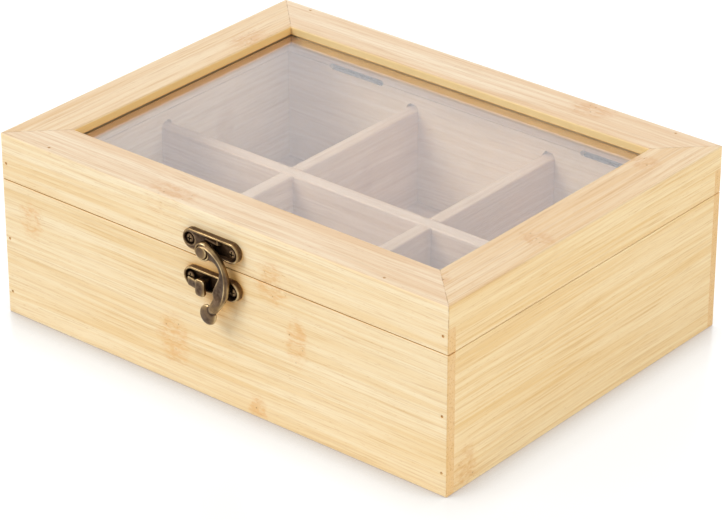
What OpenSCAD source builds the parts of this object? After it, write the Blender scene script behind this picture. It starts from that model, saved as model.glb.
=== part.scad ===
// Bamboo organizer box with six compartments, a hinged lid with a window and a hook latch.
// Origin: on the standing surface, under the centre of the box walls.
// +X runs to the right along the front, +Y to the back, +Z up.

/* [Box] */
// Outside width of the box, left to right
box_w = 240; // [200:1:300]
// Outside depth of the box, front to back
box_d = 183; // [150:1:240]
// Height of the box walls, up to the lid
box_h = 63.5; // [60:0.5:90]
// Thickness of the wall boards
wall_t = 10; // [9:0.5:13]
// Board thickness left outside each corner rabbet, seen as end grain at the side
lip_t = 4.5; // [3.5:0.5:5.5]
// Easing radius of the outer edges
edge_r = 0.8; // [0.4:0.1:1.5]
// Easing radius of the edges that meet at the seam under the lid
seam_r = 0.4; // [0.2:0.1:0.6]

/* [Floor] */
// Height of the floor panel's underside above the standing surface
floor_z = 7; // [5:0.5:10]
// Thickness of the floor panel
floor_t = 4; // [3:0.5:6]
// Play of the floor panel in its groove
floor_fit = 0.2; // [0.1:0.05:0.4]

/* [Dividers] */
// Thickness of the dividers
divider_t = 6.5; // [5:0.5:9]
// Height of the dividers above the floor
divider_h = 45.5; // [35:0.5:47]
// Easing radius of the dividers' top edges
divider_r = 0.8; // [0.4:0.1:1.5]
// Depth of the wall slots that hold the divider ends
slot_in = 3; // [2:0.5:4]
// Play on each side of a divider in a slot or a half lap
divider_fit = 0.1; // [0.05:0.05:0.25]

/* [Lid] */
// Height of the lid, from its lower edge to the top of the rails
lid_h = 21.2; // [20:0.1:30]
// Gap between the box and the closed lid
lid_gap = 0.3; // [0.2:0.05:0.6]
// Width of the mitred rails on top
rail_w = 22; // [18:0.5:30]
// Thickness of the rails
rail_t = 10; // [9:0.5:11]
// Drop from the top of the rails to the window pane
pane_drop = 4; // [3:0.25:4.5]
// Thickness of the window pane
pane_t = 2.5; // [2:0.25:3]
// Depth of the groove that holds the pane
groove_in = 5; // [3:0.5:7]
// Play of the pane in its groove
pane_fit = 0.2; // [0.1:0.05:0.4]

/* [Brads] */
// Radius of the brads that pin the boards
brad_r = 0.6; // [0.4:0.05:0.8]
// Length of the brads
brad_len = 16; // [14:1:20]
// Depth of each brad's head under the surface
brad_sink = 0.3; // [0.1:0.1:0.6]
// Distance of the brads from the board's end or edge
brad_edge = 2.7; // [2:0.1:3.2]
// Radial play of brads and screws in the wood
wood_fit = 0.05; // [0.02:0.01:0.1]

/* [Hinges] */
// Distance of each hinge's middle from the side of the box
hinge_from_side = 50; // [40:1:70]
// Length of the mortise that each hinge lies in
mortise_l = 31; // [27:0.5:36]
// Height of the mortise, half in the box and half in the lid
mortise_h = 2.9; // [2.7:0.1:3.4]
// Thickness of a hinge leaf
leaf_t = 1; // [0.8:0.05:1.1]
// Outer radius of the hinge knuckles
knuckle_r = 1.9; // [1.7:0.05:2.2]
// Radius of the hinge pin
hinge_pin_r = 0.8; // [0.6:0.05:0.9]
// Radial running clearance of pins and rivets
run_fit = 0.05; // [0.02:0.01:0.1]
// Distance between the two screws of a leaf
leaf_screw_gap = 19.6; // [16:0.2:21]

/* [Latch] */
// Distance of the latch's middle from the middle of the front
latch_x = 0.35; // [-20:0.05:20]
// Height of the latch plate's middle above the seam, and of the catch plate's below it
latch_rise = 8.6; // [8:0.1:9.2]
// Length of the latch plate and of the catch plate
plate_l = 29.8; // [28:0.2:33]
// Height of the latch plate and of the catch plate
plate_h = 9; // [8.4:0.1:10]
// Thickness of both plates at the rim
plate_t = 2.9; // [2.6:0.1:3.4]
// Width of the raised rim
rim_w = 1; // [0.8:0.1:1.3]
// Thickness of metal left under the pockets of the plates
web_t = 1.2; // [1:0.1:1.4]
// Distance between the two screws of a plate
plate_screw_gap = 22.6; // [21.6:0.2:24]
// Pivot of the hook, to the left of the plate's middle
pivot_left = 2.1; // [1:0.1:3]
// Pivot of the hook, below the plate's middle
pivot_drop = 2.2; // [1:0.1:2.4]
// Radius of the rivet that the hook turns on
rivet_r = 1.6; // [1.3:0.1:1.9]
// Radius of the hook's eye
eye_r = 4.1; // [3.6:0.1:4.4]
// Thickness of the hook
hook_t = 2.4; // [2:0.1:2.8]
// Clearance in front of the plates for the hook to swing in
swing_gap = 0.3; // [0.2:0.05:0.5]
// Farthest reach of the hook's outer edge to the right of its pivot
hook_bow = 12.9; // [12.4:0.1:14]
// Width of the knob at the hook's free end
knob_w = 7.8; // [7:0.1:8.4]
// Height of the knob
knob_h = 8.8; // [8.6:0.1:9.6]
// Thickness of the knob
knob_t = 2.5; // [2:0.1:3.2]
// Width of the catch post's face
post_w = 5.2; // [4.6:0.1:5.6]
// Height of the catch post's face
post_h = 7.3; // [6.6:0.1:7.6]

/* [Hidden] */

$fn = 48;
LEFT = -1;
RIGHT = 1;
FRONT = -1;
BACK = 1;
BAMBOO = "#EBCB95";
BAMBOO_TOP = "#F0D5A6";
BRONZE = "#6B5A41";
STEEL = "#B4B6B8";

cut = 1;                                    // overrun of every cut past the face it opens
in_w = box_w - 2 * wall_t;                  // clear width between the walls
in_d = box_d - 2 * wall_t;                  // clear depth between the walls
front_y = -box_d / 2;
back_y = box_d / 2;
lid_z = box_h + lid_gap;                    // lower edge of the closed lid
seam_z = box_h + lid_gap / 2;               // middle of the gap under the lid
top_z = lid_z + lid_h;
rail_z = top_z - rail_t;
pane_z = top_z - pane_drop - pane_t;        // underside of the pane

floor_top = floor_z + floor_t;
floor_in = wall_t - lip_t - 2 * floor_fit;  // how far the floor panel enters the walls

divider_top = floor_top + divider_h;
lap_z = floor_top + divider_h / 2;          // level where crossing dividers meet
cell_w = (in_w - 2 * divider_t) / 3;        // clear width of one compartment
cross_x = (cell_w + divider_t) / 2;         // middle of a cross divider
divider_in = slot_in - divider_fit;         // how far a divider enters its slot

box_brad_z = [10.5, 36];                    // heights of the brads in the box corners
lid_brad_z = (lid_z + rail_z) / 2 + 2;      // height of the brads in the lid corners
// Brads in the rails' tops: which end, which rail, and the distance from the end.
top_brads = [[LEFT, BACK, 17], [RIGHT, BACK, 22], [RIGHT, FRONT, 34], [LEFT, FRONT, 26]];

hinge_x = box_w / 2 - hinge_from_side;

mortise_floor = seam_z - mortise_h / 2;
leaf_fit = 0.15;                            // play of a leaf's ends in the flat of the mortise
leaf_l = mortise_l - mortise_h - 2 * leaf_fit;
leaf_inset = 0.4;                           // leaf edge stands this far inside the inner face
knuckle_gap = 0.2;                          // space between knuckles and the back of the box
hinge_y = back_y + knuckle_gap + knuckle_r; // axis of both hinges
knuckles = 5;
knuckle_play = 0.3;                         // space between two neighbouring knuckles
knuckle_l = (leaf_l - (knuckles - 1) * knuckle_play) / knuckles;
pin_head_r = 1.35;
pin_head_t = 0.5;

leaf_screw = [1, 1.9, leaf_t, 0.25, 7.5];   // shank radius, head radius, cone, dome, length
plate_screw = [1.1, 2, 0.9, 0.6, 9];        // the same for the screws of both plates
screw_fit = 0.1;                            // radial play of a screw in a metal plate
cross_w = 0.6;                              // width of the arms of a screw's cross recess
cross_depth = 0.7;

latch_z = seam_z + latch_rise;              // middle of the latch plate
catch_z = seam_z - latch_rise;              // middle of the catch plate
pocket_r = plate_h / 2 - rim_w;             // round ends of the pockets
pocket_x = (plate_l - plate_h) / 2;         // middle of these ends
pivot = [-pivot_left, -pivot_drop];         // from the latch plate's middle, across and up
boss_r = 6.4;                               // solid ground of the latch plate round the pivot
bridge = [-4.3, 1];                         // solid ground of the catch plate, left and right
hook_back = plate_t + swing_gap;            // back face of the hook, in front of the box
hook_front = hook_back + hook_t;
rivet_head_r = 2.8;
rivet_head_t = 0.8;
rivet_head_gap = 0.15;                      // play of the hook under the rivet's head

post_front = hook_front;                    // front face of the catch post
post_face_t = 2;                            // thickness of the post's overhanging face
post_neck = [4, 4.6];                       // section of the neck between plate and face
neck_drop = 0.3;                            // top of the neck below the top of the face
post_mid = [-3.3, -1.9];                    // middle of its face, from the catch plate's middle
post_corner_r = 1.6;

// The hook's outline is laid out from its pivot. The drop is the way down to the catch plate.
drop = 2 * latch_rise - pivot_drop;
post_right = post_mid.x + post_w / 2 + pivot_left;
post_low = post_mid.y - post_h / 2 - drop;
knob_gap = 1.3;                             // knob below the post
side_gap = 0.5;                             // least space between the post and the hook's tail
nose_gap = 4;                               // space between the post and the hook's nose
stem_r = 2;                                 // tail under the knob
knob = [post_right + side_gap + stem_r, post_low - knob_gap - knob_h / 2];
knob_lift = 0.3;                            // knob's back in front of the post's face
bow = [hook_bow, 0.44 * knob.y];            // rightmost point of the arm's outer edge
nose = [post_right + nose_gap, post_mid.y - drop + 0.3];
notch = nose + [0.7, -1.5];
hollow_r = 4.1;                             // radius of the hollow between the eye and the nose
hollow_top = [0.9, -0.85] * eye_r;
hollow_low = [hook_bow - 5.1, hollow_top.y - 6.8];
tail_r = 14;                                // inner edge of the tail, from the notch to the knob

// Points on the arc of radius r that runs clockwise from a to b.
function arc_between(a, b, r, steps = 12) =
    let (
        half = (b - a) / 2,
        rise = sqrt(max(r * r - half * half, 0)),
        centre = a + half + rise * [half.y, -half.x] / norm(half),
        from = atan2(a.y - centre.y, a.x - centre.x),
        to = atan2(b.y - centre.y, b.x - centre.x),
        sweep = to > from ? to - from - 360 : to - from
    )
    [for (i = [0:steps]) centre + r * [cos(from + sweep * i / steps), sin(from + sweep * i / steps)]];

// Radius of the arc that ends at p and stands upright at the bow.
function bow_radius(p) = (bow - p) * (bow - p) / (2 * (bow.x - p.x));

function reversed(points) = [for (i = [len(points) - 1:-1:0]) points[i]];

// ---- Shared shapes ----

// A block between two opposite corners.
module span(low, high) {
    translate(low) cube(high - low);
}

// A rectangle standing on the axis, with round lower and upper corners.
module eased_rect(w, h, low_r, high_r) {
    translate([-w / 2, low_r]) square([w, h - low_r - high_r]);
    for (end = [[low_r, low_r], [high_r, h - high_r]])
        if (end[0] > 0) {
            translate([-w / 2 + end[0], end[1] - end[0]])
                square([w - 2 * end[0], 2 * end[0]]);
            for (side = [LEFT, RIGHT])
                translate([side * (w / 2 - end[0]), end[1]]) circle(end[0]);
        }
}

// The outer envelope of the box or of the lid: a block with all its edges eased.
module eased_block(low_z, high_z, low_r, high_r) {
    h = high_z - low_z;
    intersection() {
        translate([0, front_y, low_z]) linear_extrude(h) eased_rect(box_w, box_d, edge_r, edge_r);
        translate([0, back_y, low_z])
            rotate([90, 0, 0]) linear_extrude(box_d) eased_rect(box_w, h, low_r, high_r);
        translate([-box_w / 2, 0, low_z])
            rotate([90, 0, 90]) linear_extrude(box_w) eased_rect(box_d, h, low_r, high_r);
    }
}

module box_envelope() {
    eased_block(0, box_h, edge_r, seam_r);
}

module lid_envelope() {
    eased_block(lid_z, top_z, seam_r, edge_r);
}

// Plan of a front or back board: full width outside, rabbeted for the side boards inside.
module long_board_plan(side) {
    outer = box_w / 2;
    inner = in_w / 2;
    lip = back_y - lip_t;
    scale([1, side]) polygon([
        [-outer, back_y], [outer, back_y], [outer, lip], [inner, lip],
        [inner, in_d / 2], [-inner, in_d / 2], [-inner, lip], [-outer, lip]
    ]);
}

// Plan of a left or right board, which ends inside the rabbets.
module short_board_plan(side) {
    x = side * (in_w + wall_t) / 2;
    translate([x, 0]) square([wall_t, box_d - 2 * lip_t], center = true);
}

// Places its children at the front face: across, up, and out of the box.
module on_front(x, z) {
    translate([x, front_y, z]) rotate([90, 0, 0]) children();
}

// A bar with round ends, lying across.
module stadium(l, h) {
    square([l - h, h], center = true);
    for (side = [LEFT, RIGHT]) translate([side * (l - h) / 2, 0]) circle(h / 2);
}

// ---- Screws and brads ----

// A cross-headed screw, its head's upper rim at the origin and its shank pointing down.
module screw(size) {
    shank_r = size[0];
    head_r = size[1];
    dome_r = (head_r * head_r + size[3] * size[3]) / (2 * size[3]);
    dome = [for (i = [1:6]) let (x = head_r * (1 - i / 6))
        [x, size[3] - dome_r + sqrt(dome_r * dome_r - x * x)]];
    difference() {
        rotate_extrude() polygon(concat(
            [[0, -size[4]], [shank_r * 0.6, -size[4] + 0.4], [shank_r, -size[4] + 2],
             [shank_r, -size[2]], [head_r, 0]],
            dome
        ));
        for (turn = [0, 90]) rotate(turn)
            translate([-head_r * 0.6, -cross_w / 2, size[3] - cross_depth])
                cube([head_r * 1.2, cross_w, cross_depth + cut]);
    }
}

// The hole that a screw needs in a plate: straight, and conical under the head.
module screw_hole(size, depth) {
    translate([0, 0, -depth]) cylinder(r = size[0] + screw_fit, h = depth + cut);
    translate([0, 0, -size[2]])
        cylinder(r1 = size[0] + screw_fit, r2 = size[1] + screw_fit, h = size[2]);
    cylinder(r = size[1] + screw_fit, h = cut);
}

// The pilot hole that a screw leaves in the wood.
module pilot_hole(size) {
    translate([0, 0, -size[4] - wood_fit]) cylinder(r = size[0] + wood_fit, h = size[4] + cut);
}

// Places its children at the corner brads, pointing out of the front and the back.
module at_corner_brads(heights, ends) {
    for (end = ends, side = [LEFT, RIGHT], z = heights)
        translate([side * (box_w / 2 - brad_edge), end * box_d / 2, z])
            rotate([-90 * end, 0, 0]) children();
}

// Places its children at the brads that pin the rails from above.
module at_top_brads(ends) {
    for (place = top_brads)
        if (search(place[1], ends) != [])
            translate([
                place[0] * (box_w / 2 - place[2]), place[1] * (box_d / 2 - brad_edge), top_z
            ]) children();
}

module brad() {
    translate([0, 0, -brad_sink - brad_len]) cylinder(r = brad_r, h = brad_len);
}

module brad_hole() {
    depth = brad_sink + brad_len + wood_fit;
    translate([0, 0, -depth]) cylinder(r = brad_r + wood_fit, h = depth + cut);
}

// ---- Box ----

// One end of a divider slot: a round-topped groove in the wall, from the floor up.
module divider_slot() {
    w = divider_t + 2 * divider_fit;
    bend_z = divider_top - divider_r;
    translate([0, 0, floor_top - cut]) linear_extrude(bend_z - floor_top + cut)
        square([w, 2 * slot_in], center = true);
    translate([0, slot_in, bend_z]) rotate([90, 0, 0]) cylinder(d = w, h = 2 * slot_in);
}

module cross_slots(side) {
    for (x = [-cross_x, cross_x]) translate([x, side * in_d / 2, 0]) divider_slot();
}

// Both mortises, cut right through the back boards at the seam.
module hinge_mortises() {
    for (side = [LEFT, RIGHT])
        translate([side * hinge_x, back_y + cut, seam_z]) rotate([90, 0, 0])
            linear_extrude(wall_t + 2 * cut) stadium(mortise_l, mortise_h);
}

module box_long_board(side) {
    reach = in_d / 2 + floor_in + floor_fit;
    difference() {
        intersection() {
            box_envelope();
            linear_extrude(box_h) long_board_plan(side);
        }
        span([-in_w / 2, -reach, floor_z], [in_w / 2, reach, floor_top + floor_fit]);
        cross_slots(side);
        at_corner_brads(box_brad_z, [side]) brad_hole();
    }
}

module box_short_board(side) {
    reach = in_w / 2 + floor_in + floor_fit;
    difference() {
        intersection() {
            box_envelope();
            linear_extrude(box_h) short_board_plan(side);
        }
        span([-reach, front_y, floor_z], [reach, back_y, floor_top + floor_fit]);
        translate([side * in_w / 2, 0, 0]) rotate(90) divider_slot();
        at_corner_brads(box_brad_z, [FRONT, BACK]) brad_hole();
    }
}

module box_front_board() {
    color(BAMBOO) difference() {
        box_long_board(FRONT);
        at_plate_screws(catch_z) pilot_hole(plate_screw);
    }
}

module box_back_board() {
    color(BAMBOO) difference() {
        box_long_board(BACK);
        hinge_mortises();
        for (side = [LEFT, RIGHT]) at_box_leaf_screws(side) pilot_hole(leaf_screw);
    }
}

module box_left_board() {
    color(BAMBOO) box_short_board(LEFT);
}

module box_right_board() {
    color(BAMBOO) box_short_board(RIGHT);
}

module floor_panel() {
    x = in_w / 2 + floor_in;
    y = in_d / 2 + floor_in;
    color(BAMBOO) span([-x, -y, floor_z], [x, y, floor_top]);
}

// A divider along X, on the floor, with eased top edges.
module divider(l) {
    translate([-l / 2, 0, floor_top]) rotate([90, 0, 90]) linear_extrude(l)
        eased_rect(divider_t, divider_h, 0, divider_r);
}

module long_divider() {
    w = divider_t / 2 + divider_fit;
    color(BAMBOO_TOP) difference() {
        divider(in_w + 2 * divider_in);
        for (x = [-cross_x, cross_x])
            span([x - w, -divider_t, floor_top - cut], [x + w, divider_t, lap_z + divider_fit]);
    }
}

module cross_divider(side) {
    w = divider_t / 2 + divider_fit;
    color(BAMBOO_TOP) difference() {
        translate([side * cross_x, 0, 0]) rotate(90) divider(in_d + 2 * divider_in);
        span([side * cross_x - divider_t, -w, lap_z], [side * cross_x + divider_t, w, divider_top + cut]);
    }
}

module left_cross_divider() {
    cross_divider(LEFT);
}

module right_cross_divider() {
    cross_divider(RIGHT);
}

module box_brads() {
    color(STEEL) at_corner_brads(box_brad_z, [FRONT, BACK]) brad();
}

// ---- Lid ----

module lid_long_board(side) {
    difference() {
        intersection() {
            lid_envelope();
            translate([0, 0, lid_z]) linear_extrude(rail_z - lid_z) long_board_plan(side);
        }
        at_corner_brads([lid_brad_z], [side]) brad_hole();
        at_top_brads([side]) brad_hole();
    }
}

module lid_short_board(side) {
    color(BAMBOO) difference() {
        intersection() {
            lid_envelope();
            translate([0, 0, lid_z]) linear_extrude(rail_z - lid_z) short_board_plan(side);
        }
        at_corner_brads([lid_brad_z], [FRONT, BACK]) brad_hole();
    }
}

module lid_front_board() {
    color(BAMBOO) difference() {
        lid_long_board(FRONT);
        at_plate_screws(latch_z) pilot_hole(plate_screw);
    }
}

module lid_back_board() {
    color(BAMBOO) difference() {
        lid_long_board(BACK);
        hinge_mortises();
        for (side = [LEFT, RIGHT]) at_lid_leaf_screws(side) pilot_hole(leaf_screw);
    }
}

module lid_left_board() {
    lid_short_board(LEFT);
}

module lid_right_board() {
    lid_short_board(RIGHT);
}

// What easing takes off an edge at the corner of the first quadrant.
module edge_waste() {
    difference() {
        square(edge_r + cut);
        circle(edge_r);
    }
}

// Section of a rail: outer face at the left, pane groove at the right, eased upper edges.
module rail_section() {
    difference() {
        square([rail_w, rail_t]);
        translate([rail_w - groove_in, pane_z - rail_z])
            square([groove_in + cut, pane_t + pane_fit]);
        translate([edge_r, rail_t - edge_r]) mirror([1, 0]) edge_waste();
        translate([rail_w - edge_r, rail_t - edge_r]) edge_waste();
    }
}

// A rail along X with its outer face on the X axis, mitred and eased at both ends.
module rail(l) {
    outer = l / 2 + cut;
    inner = l / 2 - rail_w - cut;
    difference() {
        intersection() {
            translate([-outer, 0, rail_z])
                rotate([90, 0, 90]) linear_extrude(2 * outer) rail_section();
            translate([0, 0, rail_z - cut]) linear_extrude(rail_t + 2 * cut) polygon([
                [-outer, -cut], [outer, -cut], [inner, rail_w + cut], [-inner, rail_w + cut]
            ]);
        }
        for (side = [LEFT, RIGHT])
            translate([side * (l / 2 - edge_r), edge_r, rail_z - cut])
                linear_extrude(rail_t + 2 * cut) rotate(side < 0 ? 180 : -90) edge_waste();
    }
}

module front_rail() {
    color(BAMBOO_TOP) difference() {
        translate([0, front_y, 0]) rail(box_w);
        at_top_brads([FRONT]) brad_hole();
    }
}

module back_rail() {
    color(BAMBOO_TOP) difference() {
        translate([0, back_y, 0]) rotate(180) rail(box_w);
        at_top_brads([BACK]) brad_hole();
    }
}

module side_rail(side) {
    color(BAMBOO_TOP) translate([side * box_w / 2, 0, 0]) rotate(90 * side) rail(box_d);
}

module left_rail() {
    side_rail(LEFT);
}

module right_rail() {
    side_rail(RIGHT);
}

module window_pane() {
    x = box_w / 2 - rail_w + groove_in - pane_fit;
    y = box_d / 2 - rail_w + groove_in - pane_fit;
    color("#DDE3E6", 0.35) span([-x, -y, pane_z], [x, y, pane_z + pane_t]);
}

module lid_brads() {
    color(STEEL) {
        at_corner_brads([lid_brad_z], [FRONT, BACK]) brad();
        at_top_brads([FRONT, BACK]) brad();
    }
}

// ---- Hinges ----

// Places its children at the screws of the leaf on the box, heads up.
module at_box_leaf_screws(side) {
    for (end = [LEFT, RIGHT])
        translate([
            side * hinge_x + end * leaf_screw_gap / 2, (in_d + wall_t) / 2, mortise_floor + leaf_t
        ]) children();
}

// The same on the lid, heads down.
module at_lid_leaf_screws(side) {
    translate([0, 0, 2 * seam_z]) mirror([0, 0, 1]) at_box_leaf_screws(side) children();
}

// Places its children at the start of each of the named knuckles, turned along the axis.
module at_knuckles(side, which) {
    for (i = which)
        translate([
            side * hinge_x - leaf_l / 2 + i * (knuckle_l + knuckle_play), hinge_y, seam_z
        ]) rotate([90, 0, 90]) children();
}

// The leaf on the box: a plate in the mortise, joined to its own knuckles behind the wall.
module box_leaf(side, which) {
    x = side * hinge_x;
    color(STEEL) difference() {
        union() {
            span(
                [x - leaf_l / 2, in_d / 2 + leaf_inset, mortise_floor],
                [x + leaf_l / 2, back_y, mortise_floor + leaf_t]
            );
            at_knuckles(side, which) {
                cylinder(r = knuckle_r, h = knuckle_l);
                translate([-knuckle_r - knuckle_gap, -mortise_h / 2, 0])
                    cube([knuckle_r + knuckle_gap, leaf_t, knuckle_l]);
            }
        }
        at_knuckles(side, which)
            translate([0, 0, -cut]) cylinder(r = hinge_pin_r + run_fit, h = knuckle_l + 2 * cut);
        at_box_leaf_screws(side) screw_hole(leaf_screw, leaf_t + cut);
    }
}

// The leaf on the lid is the same plate turned over, with the knuckles in between.
module lid_leaf(side) {
    translate([0, 0, 2 * seam_z]) mirror([0, 0, 1]) box_leaf(side, [1, 3]);
}

module hinge_pin(side) {
    color(STEEL) translate([side * hinge_x - leaf_l / 2 - pin_head_t, hinge_y, seam_z])
        rotate([90, 0, 90]) {
            cylinder(r = pin_head_r, h = pin_head_t);
            cylinder(r = hinge_pin_r, h = leaf_l + 2 * pin_head_t);
            translate([0, 0, leaf_l + pin_head_t]) cylinder(r = pin_head_r, h = pin_head_t);
        }
}

module left_hinge_box_leaf() {
    box_leaf(LEFT, [0, 2, 4]);
}

module right_hinge_box_leaf() {
    box_leaf(RIGHT, [0, 2, 4]);
}

module left_hinge_lid_leaf() {
    lid_leaf(LEFT);
}

module right_hinge_lid_leaf() {
    lid_leaf(RIGHT);
}

module left_hinge_pin() {
    hinge_pin(LEFT);
}

module right_hinge_pin() {
    hinge_pin(RIGHT);
}

module box_hinge_screws() {
    color(STEEL) for (side = [LEFT, RIGHT]) at_box_leaf_screws(side) screw(leaf_screw);
}

module lid_hinge_screws() {
    color(STEEL) for (side = [LEFT, RIGHT]) at_lid_leaf_screws(side) screw(leaf_screw);
}

// ---- Latch ----

// Places its children at both screws of a plate, with the heads' rims at the origin.
module at_plate_screws(z) {
    for (side = [LEFT, RIGHT])
        on_front(latch_x + side * plate_screw_gap / 2, z)
            translate([0, 0, web_t + plate_screw[2]]) children();
}

// A cast plate with pockets, which are its children, and a screw hole at each end.
module pocketed_plate() {
    difference() {
        linear_extrude(plate_t) stadium(plate_l, plate_h);
        translate([0, 0, web_t]) linear_extrude(plate_t) children();
        for (side = [LEFT, RIGHT])
            translate([side * plate_screw_gap / 2, 0, -cut])
                cylinder(r = plate_screw[0] + screw_fit, h = plate_t);
    }
}

// The round end of a pocket, and its straight run from there to x.
module pocket(side, x) {
    end_x = side * pocket_x;
    translate([end_x, 0]) circle(pocket_r);
    translate([min(end_x, x), -pocket_r]) square([abs(x - end_x), 2 * pocket_r]);
}

module latch_plate() {
    color(BRONZE) on_front(latch_x, latch_z) difference() {
        pocketed_plate() {
            translate([-pocket_x, 0]) circle(pocket_r);
            difference() {
                pocket(RIGHT, pivot.x);
                translate(pivot) circle(boss_r);
            }
        }
        translate([pivot.x, pivot.y, -cut]) cylinder(r = rivet_r + run_fit, h = plate_t + 2 * cut);
    }
}

module latch_screws() {
    color(BRONZE) at_plate_screws(latch_z) screw(plate_screw);
}

module hook_rivet() {
    seat = hook_front + rivet_head_gap;
    dome_r = (rivet_head_r * rivet_head_r + rivet_head_t * rivet_head_t) / (2 * rivet_head_t);
    color(BRONZE) on_front(latch_x + pivot.x, latch_z + pivot.y) {
        cylinder(r = rivet_r, h = seat);
        translate([0, 0, seat]) intersection() {
            cylinder(r = rivet_head_r, h = rivet_head_t);
            translate([0, 0, rivet_head_t - dome_r]) sphere(dome_r);
        }
    }
}

// The face of the catch post: a rectangle with round corners.
module post_face() {
    translate([0, -post_h / 2]) eased_rect(post_w, post_h, post_corner_r, post_corner_r);
}

module catch_plate() {
    neck_y = post_mid.y + (post_h - post_neck.y) / 2 - neck_drop;
    color(BRONZE) on_front(latch_x, catch_z) {
        pocketed_plate() {
            pocket(LEFT, bridge[0]);
            pocket(RIGHT, bridge[1]);
        }
        translate([post_mid.x, neck_y, web_t])
            linear_extrude(post_front - post_face_t / 2 - web_t) square(post_neck, center = true);
        translate([post_mid.x, post_mid.y, post_front - post_face_t])
            linear_extrude(post_face_t) post_face();
    }
}

module catch_screws() {
    color(BRONZE) at_plate_screws(catch_z) screw(plate_screw);
}

// Outline of the hook from its pivot: arm, nose beside the post, and tail under the knob.
module hook_outline() {
    eye_bow_r = (bow * bow - eye_r * eye_r) / (2 * (bow.x - eye_r));
    eye_bow = [eye_bow_r - bow.x, -bow.y];
    eye_end = eye_r * eye_bow / norm(eye_bow);
    tail_out = knob + [0.4, -0.15] * stem_r;
    tail_in = knob + [-0.5, 1.2] * stem_r;
    polygon(concat(
        arc_between(eye_end, bow, eye_bow_r),
        arc_between(bow, tail_out, bow_radius(tail_out)),
        reversed(arc_between(notch, tail_in, tail_r, 8)),
        [nose],
        reversed(arc_between(hollow_top, hollow_low, hollow_r)),
        [[0, 0]]
    ));
    circle(eye_r);
    translate(knob) circle(stem_r);
}

module latch_hook() {
    pad_r = 1.6 * knob_h;
    color(BRONZE) on_front(latch_x + pivot.x, latch_z + pivot.y) {
        translate([0, 0, hook_back]) linear_extrude(hook_t) difference() {
            hook_outline();
            circle(rivet_r + run_fit);
        }
        translate([knob.x, knob.y, hook_back]) cylinder(r = stem_r, h = hook_t + knob_lift + cut);
        translate([knob.x, knob.y, post_front + knob_lift]) intersection() {
            linear_extrude(knob_t) rotate(90) stadium(knob_h, knob_w);
            translate([0, 0, knob_t - pad_r]) sphere(pad_r);
        }
    }
}

box_front_board();
box_back_board();
box_left_board();
box_right_board();
floor_panel();
long_divider();
left_cross_divider();
right_cross_divider();
box_brads();
left_hinge_box_leaf();
right_hinge_box_leaf();
left_hinge_pin();
right_hinge_pin();
box_hinge_screws();
catch_plate();
catch_screws();
lid_front_board();
lid_back_board();
lid_left_board();
lid_right_board();
front_rail();
back_rail();
left_rail();
right_rail();
window_pane();
lid_brads();
left_hinge_lid_leaf();
right_hinge_lid_leaf();
lid_hinge_screws();
latch_plate();
latch_screws();
hook_rivet();
latch_hook();
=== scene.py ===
import math
from functools import partial

import bmesh
import bpy
import numpy as np
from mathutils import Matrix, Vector


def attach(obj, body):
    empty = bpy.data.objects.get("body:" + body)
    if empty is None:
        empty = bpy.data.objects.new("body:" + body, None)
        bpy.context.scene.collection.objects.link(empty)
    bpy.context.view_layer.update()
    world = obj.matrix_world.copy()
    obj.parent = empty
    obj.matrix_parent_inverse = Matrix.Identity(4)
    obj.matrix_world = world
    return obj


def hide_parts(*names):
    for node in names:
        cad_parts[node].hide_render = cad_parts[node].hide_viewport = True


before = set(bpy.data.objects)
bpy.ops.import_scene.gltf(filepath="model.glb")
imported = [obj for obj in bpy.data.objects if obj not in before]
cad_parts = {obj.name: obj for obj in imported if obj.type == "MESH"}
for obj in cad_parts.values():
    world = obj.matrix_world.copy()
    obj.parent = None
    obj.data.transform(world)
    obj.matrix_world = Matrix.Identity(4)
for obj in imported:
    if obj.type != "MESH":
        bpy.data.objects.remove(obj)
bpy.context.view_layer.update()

# Tea bag organizer box: bamboo boards, a window in the hinged lid, and a cast bronze hook latch.
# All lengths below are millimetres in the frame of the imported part; the meshes are made in metres.

MM = 0.001

BOX_W, BOX_D, TOP_Z = 240.0, 183.0, 85.0
FRONT_Y = -BOX_D / 2
WALL = 10.0           # thickness of the walls
RAIL_W = 22.0         # width of the rails round the window
PANE_Z = 81.0         # upper face of the window pane
SEAM_Z = 63.65        # middle of the gap between the box and the lid


# ---- Colours and shader nodes ----

def linear(code):
    """Turns an sRGB hex colour into the linear values that the sockets take."""
    srgb = np.array([int(code[i:i + 2], 16) for i in (1, 3, 5)]) / 255.0
    values = np.where(srgb <= 0.04045, srgb / 12.92, ((srgb + 0.055) / 1.055) ** 2.4)
    return (*values.tolist(), 1.0)


# The setting that the second word of a kind of node stands for.
SECOND_WORD = {"Math": "operation", "VectorMath": "operation", "MapRange": "interpolation_type",
               "Mix": "data_type", "TexWhiteNoise": "noise_dimensions"}


def add(tree, kind, *inputs, out=0, stops=(), **settings):
    """Adds one node with its settings and links, and gives one of its outputs.

    kind is the node's type after "ShaderNode", with its main setting as a second word. The
    inputs are values, colours or other nodes' outputs, in the order of the sockets, or one
    dictionary of them by the sockets' numbers or names. stops are the (position, hex colour)
    marks of a colour ramp. out is an output's number or name, or None for all of them.
    """
    kind, _, word = kind.partition(" ")
    made = tree.nodes.new("ShaderNode" + kind)
    if word:
        settings[SECOND_WORD[kind]] = word
    for name, value in settings.items():
        setattr(made, name, value)
    if stops:
        marks = made.color_ramp.elements
        while len(marks) < len(stops):
            marks.new(0.5)
        for mark, (position, code) in zip(marks, stops):
            mark.position = position
            mark.color = linear(code)
    by_key = inputs[0] if inputs and isinstance(inputs[0], dict) else dict(enumerate(inputs))
    for key, value in by_key.items():
        if isinstance(value, bpy.types.NodeSocket):
            tree.links.new(value, made.inputs[key])
        else:
            made.inputs[key].default_value = value
    return made.outputs if out is None else made.outputs[out]


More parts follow.
